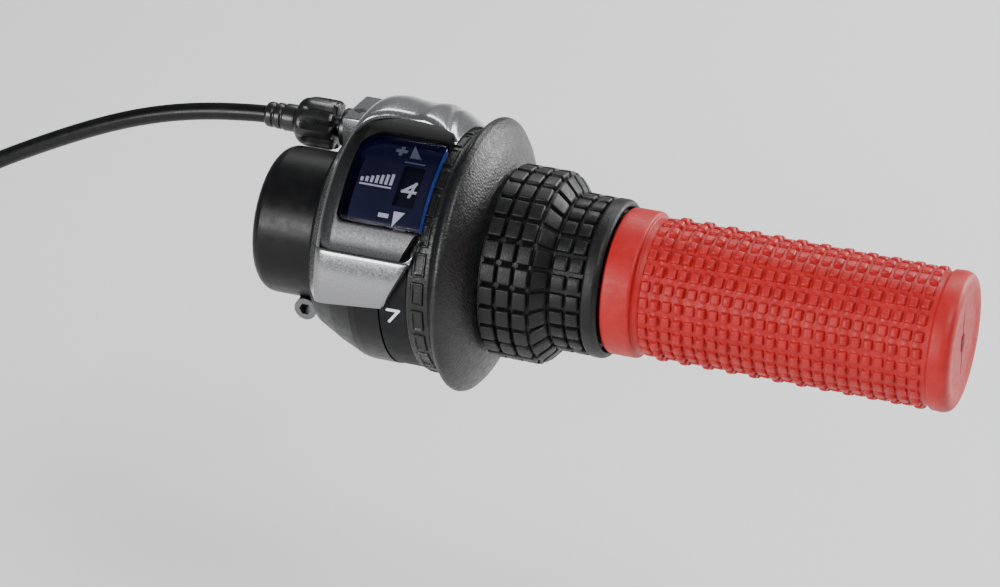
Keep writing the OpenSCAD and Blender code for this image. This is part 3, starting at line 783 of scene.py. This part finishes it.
def add_bezel(mats):
    """The grey metallic frame round the window, which is open on its outboard side."""
    start_x, end_x = 21.0, 43.2
    wx = LENS_X[0] - 0.12
    top, low = LENS_PHI[0] - 0.35, LENS_PHI[1] + 0.3
    end = CREASE_PHI - 0.25
    s = np.concatenate([
        np.linspace(start_x, wx - 0.3, 12),
        wx + np.array([-0.16, -0.06, 0.0, 0.03, 0.2, 0.45]),
        np.linspace(wx + 0.7, wx + 6, 16),
        np.linspace(wx + 6.6, end_x, 20),
    ])
    lip = np.array([0.0, 0.06, 0.16, 0.3, 0.5])
    angles = []
    for station in s:
        start = arch_phi(station) + 0.12
        up = corner_phi(station, wx, top, 5.0, 1)
        down = corner_phi(station, wx, low, 1.6, -1)
        down = max(down, up + 6)
        angles.append(np.concatenate([
            np.linspace(start, up - 1.2, 8),
            up - lip[::-1] * 2,
            [up + 0.06],
            np.linspace(up + 0.5, down - 0.5, 30),
            [down - 0.06],
            down + lip * 2,
            np.linspace(down + 1.6, end, 14),
        ]))
    phi = np.array(angles)
    cut = np.interp(phi, [0, 55.9, 57, 69], [end_x, end_x, 42.5, 39.7])
    station = start_x + (s[:, None] - start_x) / (end_x - start_x) * (cut - start_x)
    outer = np.interp(station, [start_x, 21.4, 22.6, 24.0, 24.6, end_x],
                      [27.9, 28.25, 28.95, 29.5, 29.6, 29.6])
    rise = np.clip((LENS_PHI[0] - phi) / 9, 0, 1)
    outer = outer + 0.35 * rise * np.clip((station - 22) / 2, 0, 1)
    to_end = np.radians(end - phi) * FRAME_ARC_R
    outer = outer - 0.9 * (1 - ridge(to_end, 4.5))
    # The window's cells are those between its upper and lower lip, from its inboard side on
    columns = np.arange(phi.shape[1])
    first, last = 12, 46
    near = np.minimum(np.abs(columns - first - 0.5), np.abs(columns - last + 0.5))
    soften = np.clip(1 - near / 4, 0, 1)[None, :] * (s[:, None] > wx - 0.01)
    outer = outer - 0.18 * soften ** 2
    between = (columns[:-1] >= first) & (columns[:-1] < last)
    window = between[None, :] & (s[:-1, None] > wx - 0.01)
    bezel = wall("window_frame", station, phi, outer, np.full_like(outer, 27.15), window)
    fit_out(bezel, "housing", "grey_metallic", mats["grey_metallic"], "window_bezel")


def window_grid(left, right, phi_top, phi_low, radii, columns, rows):
    """Stations and angles over a window outline with rounded corners."""
    r_top, r_low, r_right = radii
    s = np.concatenate([
        left + (1 - np.cos(np.linspace(0, np.pi / 2, 12))) * r_top,
        np.linspace(left + r_top, right - r_right, columns)[1:],
        right - r_right + np.sin(np.linspace(0, np.pi / 2, 6))[1:] * r_right,
    ])
    up = corner_phi(s, left, phi_top, r_top, 1)
    up = np.maximum(up, corner_phi(-s, -right, phi_top, r_right, 1))
    down = corner_phi(s, left, phi_low, r_low, -1)
    share = np.linspace(0, 1, rows)
    phi = up[:, None] + share[None, :] * (down - up)[:, None]
    station = np.repeat(s[:, None], rows, axis=1)
    return station, phi


def soft_edge(shape, height, reach):
    """How far a radius drops towards the borders of a grid: by height, over some rows of reach."""
    rows, cols = shape
    i = np.minimum(np.arange(rows), rows - 1 - np.arange(rows))[:, None]
    j = np.minimum(np.arange(cols), cols - 1 - np.arange(cols))[None, :]
    return -height * np.exp(-np.minimum(i, j) / reach)


def add_lens(mats):
    """The blue window with a soft edge; its outboard side shows its thickness."""
    station, phi = window_grid(LENS_X[0], LENS_X[1], *LENS_PHI, (4.8, 1.4, 1.6), 26, 40)
    outer = LENS_R + soft_edge(station.shape, 0.22, 0.7)
    thickness = 1.6
    lens = wall("window_lens_clear", station, phi, outer, np.full_like(outer, LENS_R - thickness))
    fit_out(lens, "housing", "blue_lens", mats["blue_lens"], "window_lens")
    lens.data.materials.append(mats["lens_edge"])
    for face in lens.data.polygons:
        side = face.normal.x > 0.5 and face.center.x > (LENS_X[1] - 1.7 + SHIFT) * MM
        face.material_index = 1 if side else 0


def add_display(mats):
    """The dark display behind the lens, as four plates round its slot."""
    left, right, top, low = 26.2, 43.1, 14.0, 55.0
    slot_x, slot_phi = (35.4, 40.2), (25.0, 45.0)
    s_edges = [left, left + 0.3, left + 0.8, left + 1.6, left + 2.6, left + 4, 32, slot_x[0] - 0.02,
               slot_x[0], slot_x[1], slot_x[1] + 0.02, 41.6, right]
    phi_edges = np.concatenate([
        np.linspace(top, slot_phi[0] - 0.05, 9), np.linspace(slot_phi[0], slot_phi[1], 14),
        np.linspace(slot_phi[1] + 0.05, low, 8),
    ])
    sections = [
        ("left", [x for x in s_edges if x <= slot_x[0]], phi_edges),
        ("right", [x for x in s_edges if x >= slot_x[1]], phi_edges),
        ("above", [slot_x[0], slot_x[1]], phi_edges[phi_edges <= slot_phi[0]]),
        ("below", [slot_x[0], slot_x[1]], phi_edges[phi_edges >= slot_phi[1]]),
    ]
    for side, stations, angles in sections:
        s = np.array(stations)
        up = corner_phi(s, left, 0.0, 4.0, 1)
        down = corner_phi(s, left, 0.0, 1.2, -1)
        share = (angles - angles[0]) / (angles[-1] - angles[0])
        phi = angles[None, :] + up[:, None] * (1 - share[None, :]) + down[:, None] * share[None, :]
        grid = np.repeat(s[:, None], len(angles), axis=1)
        panel = wall("display_" + side, grid, phi, np.full_like(grid, DISPLAY_R + 0.02),
                     np.full_like(grid, DISPLAY_R - 0.36))
        nodes = ["display_panel"] if side == "left" else []
        fit_out(panel, "housing", "display_print", mats["display"], *nodes)


def add_display_marks(mats):
    """The marks printed on the display: a plus, a minus, their triangles, a line and the bars."""
    outlines = [
        box_outline(32.0, 34.6, 3.3, 4.1),
        box_outline(32.9, 33.7, 2.4, 3.3),
        box_outline(32.9, 33.7, 4.1, 5.0),
        [(35.7, 2.2), (38.3, 2.2), (35.5, 6.0)],
        box_outline(33.0, 35.3, -12.6, -11.7),
        [(36.3, -10.9), (38.8, -10.9), (36.5, -14.3)],
        box_outline(26.9, 34.2, -6.2, -5.85),
        box_outline(35.0, 39.7, 0.75, 1.0),
    ]
    for k in range(GEARS):
        outlines.append(box_outline(26.9 + 1.1 * k, 27.55 + 1.1 * k, -5.4, -4.5 + 0.3 * k))
    points, faces = prism_on_bar(outlines, DISPLAY_R, 0.2, 0, 25)
    marks = make_mesh("display_marks", points, faces)
    fit_out(marks, "housing", "display_print", mats["display_print"])


# Centre lines of the numerals, as the ends x0, y0, x1, y1 of straight strokes
NUMERALS = {
    1: [(-0.7, 0.9, 0.3, 1.6), (0.3, 1.6, 0.3, -1.6)],
    2: [(-1.1, 1.4, 1.1, 1.4), (1.1, 1.4, 1.1, 0.2), (1.1, 0.2, -1.1, -1.4),
        (-1.1, -1.4, 1.2, -1.4)],
    3: [(-1.1, 1.4, 1.1, 1.4), (1.1, 1.4, 0, 0.3), (0, 0.3, 1.1, -0.5), (1.1, -0.5, 0.6, -1.4),
        (0.6, -1.4, -1.1, -1.4)],
    4: [(0.7, 1.5, -1.3, -0.55), (-1.4, -0.55, 1.5, -0.55), (0.6, 1.5, 0.6, -1.6)],
    5: [(1.1, 1.4, -1, 1.4), (-1, 1.4, -1, 0.3), (-1, 0.3, 1, 0.3), (1, 0.3, 1, -1.4),
        (1, -1.4, -1.1, -1.4)],
    6: [(0.9, 1.4, -0.6, 1.2), (-0.6, 1.2, -1, -1.4), (-1, -1.4, 1, -1.4), (1, -1.4, 1, 0.1),
        (1, 0.1, -1, 0.1)],
    7: [(-1.3, 1.4, 1.2, 1.4), (1.2, 1.4, -0.4, -1.6)],
}
STROKE = 0.62
SLANT = 0.2


def stroke(x0, y0, x1, y1):
    """One stroke of a numeral as a four-sided outline, leaning forward."""
    length = math.hypot(x1 - x0, y1 - y0)
    across = np.array([-(y1 - y0), x1 - x0]) / length * STROKE / 2
    along = np.array([x1 - x0, y1 - y0]) / length * STROKE / 2
    start, end = np.array([x0, y0]) - along, np.array([x1, y1]) + along
    outline = [start - across, end - across, end + across, start + across]
    return [(x + SLANT * y, y) for x, y in outline]


def add_numbers(mats):
    """The gear numerals on the turning ring: at rest the middle one shows in the window."""
    points, faces = [], []
    for gear, lines in NUMERALS.items():
        phi = WINDOW_PHI + (gear - 4) * GEAR_STEP
        outlines = [stroke(*line) for line in lines]
        more, shapes = prism_on_bar(outlines, NUMBER_R, 0.15, NUMBER_STATION, phi)
        faces += [[len(points) + v for v in shape] for shape in shapes]
        points += more
    numbers = make_mesh("gear_numbers", points, faces)
    fit_out(numbers, "twist", "display_print", mats["display_print"])


# ---------- twist grip ----------

# Outside of the rubber from its inboard lip to the foot of the blocks, as (station, radius)
FLANGE = [
    (41.1, 24.5), (41.1, 26.6), (41.45, 26.8), (46.0, 26.8), (46.6, 27.4), (47.5, 29.3),
    (48.2, 30.1), (48.8, 30.3), (49.6, 30.1), (51.0, 28.4), (53.0, 24.4), (54.3, 20.6),
    (54.75, 19.95),
]
# The ring at the blocks' far end, and back along the inside of the rubber
TAIL = [
    (76.5, 16.25), (76.7, 16.9), (77.2, 17.4), (79.4, 17.4), (80.3, 16.7), (80.3, 15.85),
    (77.3, 15.85), (77.3, 14.1), (69.6, 14.1), (66.0, 17.9), (46.5, 17.9), (46.5, 24.5),
]
# Columns of blocks as (first, last) station, and the radii between the blocks and on top of them
COLUMNS = [(55.2, 58.6), (59.1, 62.3), (62.8, 66.0), (66.5, 69.4), (69.8, 73.0), (73.45, 76.4)]
VALLEY = [(54.75, 19.95), (66.2, 19.9), (69.6, 16.35), (76.5, 16.25)]
TOPS = [(54.75, 21.2), (66.2, 21.15), (69.6, 17.35), (76.5, 17.3)]


def row_angles(phase, half_gap_deg, steps=(0.0, 0.16, 0.42, 0.85, 1.5)):
    """Angles across one block row after another, close together at the block edges."""
    side = half_gap_deg + np.array(steps)
    one = np.concatenate([[0.0], side, [ROW_PITCH / 2], ROW_PITCH - side[::-1]])
    return (phase + np.arange(BLOCK_ROWS)[:, None] * ROW_PITCH + one[None, :]).reshape(-1)


def add_grip(mats):
    """The rubber sleeve: embossed collar, grained flange, rows of rounded blocks and end ring."""
    phi = row_angles(SLOT_PHASE, math.degrees(BLOCK_GAP / 20))
    flange = fillet(FLANGE, 0.6, 3, closed=False)
    dense = []
    for a, b in zip(flange[:-1], flange[1:]):
        step = 0.22 if a[1] > 26.5 and b[0] < 46.2 else 0.9
        n = max(1, int(np.linalg.norm(b - a) / step))
        dense += [a + (b - a) * k / n for k in range(n)]
    dense.append(flange[-1])
    blocks = np.concatenate([edge_samples(*c) for c in COLUMNS])
    tail = fillet(TAIL, 0.4, 3, closed=False)
    s = np.concatenate([np.array(dense)[:, 0], blocks, tail[:, 0]])
    r = np.concatenate([np.array(dense)[:, 1], np.interp(blocks, *np.array(VALLEY).T), tail[:, 1]])
    station = np.repeat(s[:, None], len(phi), axis=1)
    radius = np.repeat(r[:, None], len(phi), axis=1)
    local = (phi - SLOT_PHASE) % ROW_PITCH - ROW_PITCH / 2
    first = len(dense)
    base = np.interp(blocks, *np.array(VALLEY).T)
    top = np.interp(blocks, *np.array(TOPS).T)
    for low, high in COLUMNS:
        here = (blocks >= low - 1e-6) & (blocks <= high + 1e-6)
        mean_r = top[here].mean()
        arc = np.radians(local)[None, :] * mean_r
        half_arc = np.radians(ROW_PITCH / 2) * mean_r - BLOCK_GAP
        inside = inside_box(
            (blocks[here] - (low + high) / 2)[:, None], arc, (high - low) / 2, half_arc, 0.5)
        lift = (top - base)[here][:, None] * ridge(inside, 0.3)
        crown = 0.06 * np.clip(inside - 0.3, 0, 1)
        radius[first + np.flatnonzero(here)] += lift + crown
    low, high = COLLAR_SPAN
    collar = np.flatnonzero((s > low) & (s < high) & (r > 26.5) & (np.arange(len(s)) < first))
    arc = np.radians(local)[None, :] * COLLAR_R
    half_arc = np.radians(ROW_PITCH / 2 - 1.3) * COLLAR_R
    inside = inside_box((s[collar] - COLLAR_STATION)[:, None], arc, 1.45, half_arc, 0.5)
    radius[collar] += 0.38 * ridge(inside, 0.22) - 0.3 * ridge(inside - 0.5, 0.22)
    points = on_bar(station, radius, phi[None, :])
    grip = make_mesh("grip_sleeve", points, quads(len(s), len(phi), True, True))
    fit_out(grip, "twist", "black_rubber", mats["black_rubber"], "grip_rubber")
    grip.data.materials.append(mats["leather_rubber"])
    limit = (SLEEVE_START + SHIFT) * MM
    for face in grip.data.polygons:
        face.material_index = 1 if face.center.x < limit else 0


# ---------- end grip ----------

def add_end_grip(mats):
    """The red grip: smooth band, rings of square blocks, by turns low and tall, and dished end."""
    phi = row_angles(RIB_PHASE - ROW_PITCH / 2, math.degrees(RIB_GAP / 14.6),
                     (0.0, 0.3, 0.9, 1.7, 2.6))
    head = fillet([
        (83.0, 11.65), (80.45, 11.65), (80.45, 15.3), (80.9, 15.85), (82.0, 16.0), (86.7, 16.0),
        (87.15, 15.7), (87.3, 14.9), (87.6, 14.7), (88.8, 14.5),
    ], 0.4, 3, closed=False)
    rings = [FIRST_RIB + RIB_PITCH * k for k in range(RIB_COUNT)]
    steps = (0.0, 0.09, 0.24, 0.5)
    blocks = np.concatenate([edge_samples(c - RIB_HALF, c + RIB_HALF, steps) for c in rings])
    end = fillet([
        (151.2, 14.35), (151.7, 15.0), (154.2, 15.1), (155.4, 14.6), (156.0, 13.7), (156.2, 12.5),
        (156.0, 11.2), (155.6, 9.6), (GRIP_END, 5.0), (GRIP_END, 0.02),
    ], 0.9, 4, closed=False)
    back = np.array([(153.0, 0.02), (153.0, 11.15), (83.0, 11.15)])
    s = np.concatenate([head[:, 0], blocks, end[:, 0], back[:, 0]])
    r = np.concatenate([head[:, 1], np.full(len(blocks), RIB_VALLEY), end[:, 1], back[:, 1]])
    station = np.repeat(s[:, None], len(phi), axis=1)
    radius = np.repeat(r[:, None], len(phi), axis=1)
    local = (phi - RIB_PHASE + ROW_PITCH / 2) % ROW_PITCH - ROW_PITCH / 2
    arc = np.radians(local)[None, :] * 15
    half_arc = np.radians(ROW_PITCH / 2) * 15 - RIB_GAP
    for k, centre in enumerate(rings):
        index = len(head) + np.flatnonzero(np.abs(blocks - centre) <= RIB_HALF + 1e-6)
        inside = inside_box((s[index] - centre)[:, None], arc, RIB_HALF, half_arc, 0.45)
        tall = k % 2 == 1
        top = np.interp(centre, *TALL_TOPS) if tall else LOW_TOP
        lift = (top - RIB_VALLEY) * ridge(inside, 0.5 if tall else 0.3)
        radius[index] += lift + (0.12 * np.clip(inside - 0.3, 0, 1) if tall else 0)
    points = on_bar(station, radius, phi[None, :])
    grip = make_mesh("end_grip_ribbed", points, quads(len(s), len(phi), True, True), sharp=50)
    fit_out(grip, "housing", "red_rubber", mats["red_rubber"], "end_grip")


def add_gate_mark(mats):
    """The mould's mark and parting line on the grip's end, as [half width, half height, height]."""
    points, faces = [], []
    for half_width, half_height, lift in ((1.15, 1.9, 0.12), (0.06, 8.0, 0.07)):
        outline = fillet(box_outline(-half_width, half_width, -half_height, half_height),
                         half_width * 0.8)
        faces += prism_faces(len(points), len(outline))
        points += [(station + SHIFT, y, z) for station in (GRIP_END - 0.3, GRIP_END + lift)
                   for y, z in outline]
    mark = make_mesh("gate_mark", points, faces)
    # Its dark red is painted shade: the hollow of the slot and the shade along the parting line,
    # painted on strips that stand out from the end.
    fit_out(mark, "housing", "red_rubber", mats["red_shadow"])


# ---------- adjuster ----------

def add_knob(mats):
    """The lobed knob: eight long flutes that run out on its rounded shoulder."""
    outline = smooth_line([
        (-0.6, 2.9), (-0.6, 3.9), (-0.2, 4.6), (0.6, 5.2), (1.8, 5.6), (3.5, 5.7), (7.6, 5.65),
        (8.4, 5.4), (8.8, 4.9), (8.8, 2.55),
    ], 4)
    back = np.array([(5.1, 2.5), (5.0, 2.7), (0.0, 2.72)])
    s = np.concatenate([outline[:, 0], back[:, 0]])
    r = np.concatenate([outline[:, 1], back[:, 1]])
    angle = np.arange(128) * 360 / 128
    groove = np.clip(1 - np.abs((angle % 45) - 22.5) / 13.5, 0, 1) ** 0.6
    depth = np.interp(s, [-0.6, 0.4, 2.6, 8.8], [0, 0.1, 1.05, 1.2])
    depth[len(outline):] = 0
    depth = np.where(r < 3.6, 0, depth)
    radius = r[:, None] - depth[:, None] * groove[None, :]
    knob = round_adjuster("barrel_knob", s, radius, angle)
    fit_out(knob, "adjuster", "knob_plastic", mats["knob_plastic"], "adjuster_knob")


def add_boot(mats):
    """The ribbed boot over the casing's end."""
    outline = fillet([
        (2.04, -8.4), (2.55, -8.4), (2.85, -7.9), (2.85, -6.7), (2.6, -6.5), (2.6, -6.1),
        (2.95, -5.9), (2.95, -4.7), (2.7, -4.5), (2.7, -4.1), (3.1, -3.9), (3.1, -1.0),
        (2.6, -0.9), (2.6, 4.6), (0.95, 4.6), (0.95, -3.0), (2.04, -3.0),
    ], 0.25, 3)
    boot = lathe("casing_boot", outline)
    fit_out(boot, "carriage", "knob_plastic", mats["knob_plastic"], "casing_ferrule")


# ---------- nodes kept from the CAD model ----------

def dress_kept_nodes(mats):
    """Each CAD node that is still shown gets the material of its slot."""
    slots = {p["node"]: p["material_slot"] for p in frame["record"]["subparts"]}
    for name, node in frame["nodes"].items():
        if node.hide_render:
            continue
        node.data.materials.clear()
        node.data.materials.append(mats[slots[name]])


# ---------- studio ----------

def add_floor():
    """A plain pale floor that curves up behind the object."""
    half_width, bend, bend_start = 3.0, 1.6, 0.9
    line = [(-bend, FLOOR_Z)]
    line += [(bend_start + bend * math.sin(a), FLOOR_Z + bend * (1 - math.cos(a)))
             for a in np.radians(np.arange(0, 91, 6))]
    points = [(x, y, z) for y, z in line for x in (-half_width, half_width)]
    mesh = bpy.data.meshes.new("floor")
    mesh.from_pydata(points, [], quads(len(line), 2, False, False))
    mesh.polygons.foreach_set("use_smooth", [True] * len(mesh.polygons))
    floor = bpy.data.objects.new("floor", mesh)
    scene.collection.objects.link(floor)
    n = Nodes("floor_paper", (0.78, 0.78, 0.775), 0.75)
    n.colours(n.noise(6, 2), [(0.3, (0.765, 0.765, 0.76)), (0.7, (0.79, 0.79, 0.785))])
    floor.data.materials.append(n.material)


def add_light(name, place, size, power):
    """An area light aimed at the middle of the shifter."""
    data = bpy.data.lights.new(name, "AREA")
    data.shape = "RECTANGLE"
    data.size, data.size_y = size
    data.energy = power
    light = bpy.data.objects.new(name, data)
    light.location = place
    aim = Vector(place) - Vector((0.03, 0, 0))
    light.rotation_euler = aim.to_track_quat("Z", "Y").to_euler()
    scene.collection.objects.link(light)


def add_lights():
    """Soft studio light: a key low on the left, cards behind and beside the grip, and a fill.

    None of them stands where the curved window would mirror it into the camera.
    """
    add_light("key", (-0.5, -0.95, 0.36), (0.5, 0.4), 14)
    add_light("back", (0.1, 0.75, 0.75), (0.9, 0.3), 9)
    add_light("rim", (0.75, 0.85, 0.22), (0.5, 0.45), 14)
    add_light("side", (0.65, -0.35, 0.85), (0.4, 0.4), 8)
    world = bpy.data.worlds.new("studio")
    world.use_nodes = True
    world.node_tree.nodes["Background"].inputs["Color"].default_value = (0.9, 0.93, 1, 1)
    world.node_tree.nodes["Background"].inputs["Strength"].default_value = 0.16
    scene.world = world


add_camera()
materials = make_materials()
add_casing(materials)
add_hump(materials)
add_chamfer(materials)
add_facet(materials)
add_horn(materials)
add_adjuster_box(materials)
add_box_details(materials)
add_bezel(materials)
add_lens(materials)
add_display(materials)
add_display_marks(materials)
add_numbers(materials)
add_grip(materials)
add_end_grip(materials)
add_gate_mark(materials)
add_knob(materials)
add_boot(materials)
dress_kept_nodes(materials)
add_floor()
add_lights()
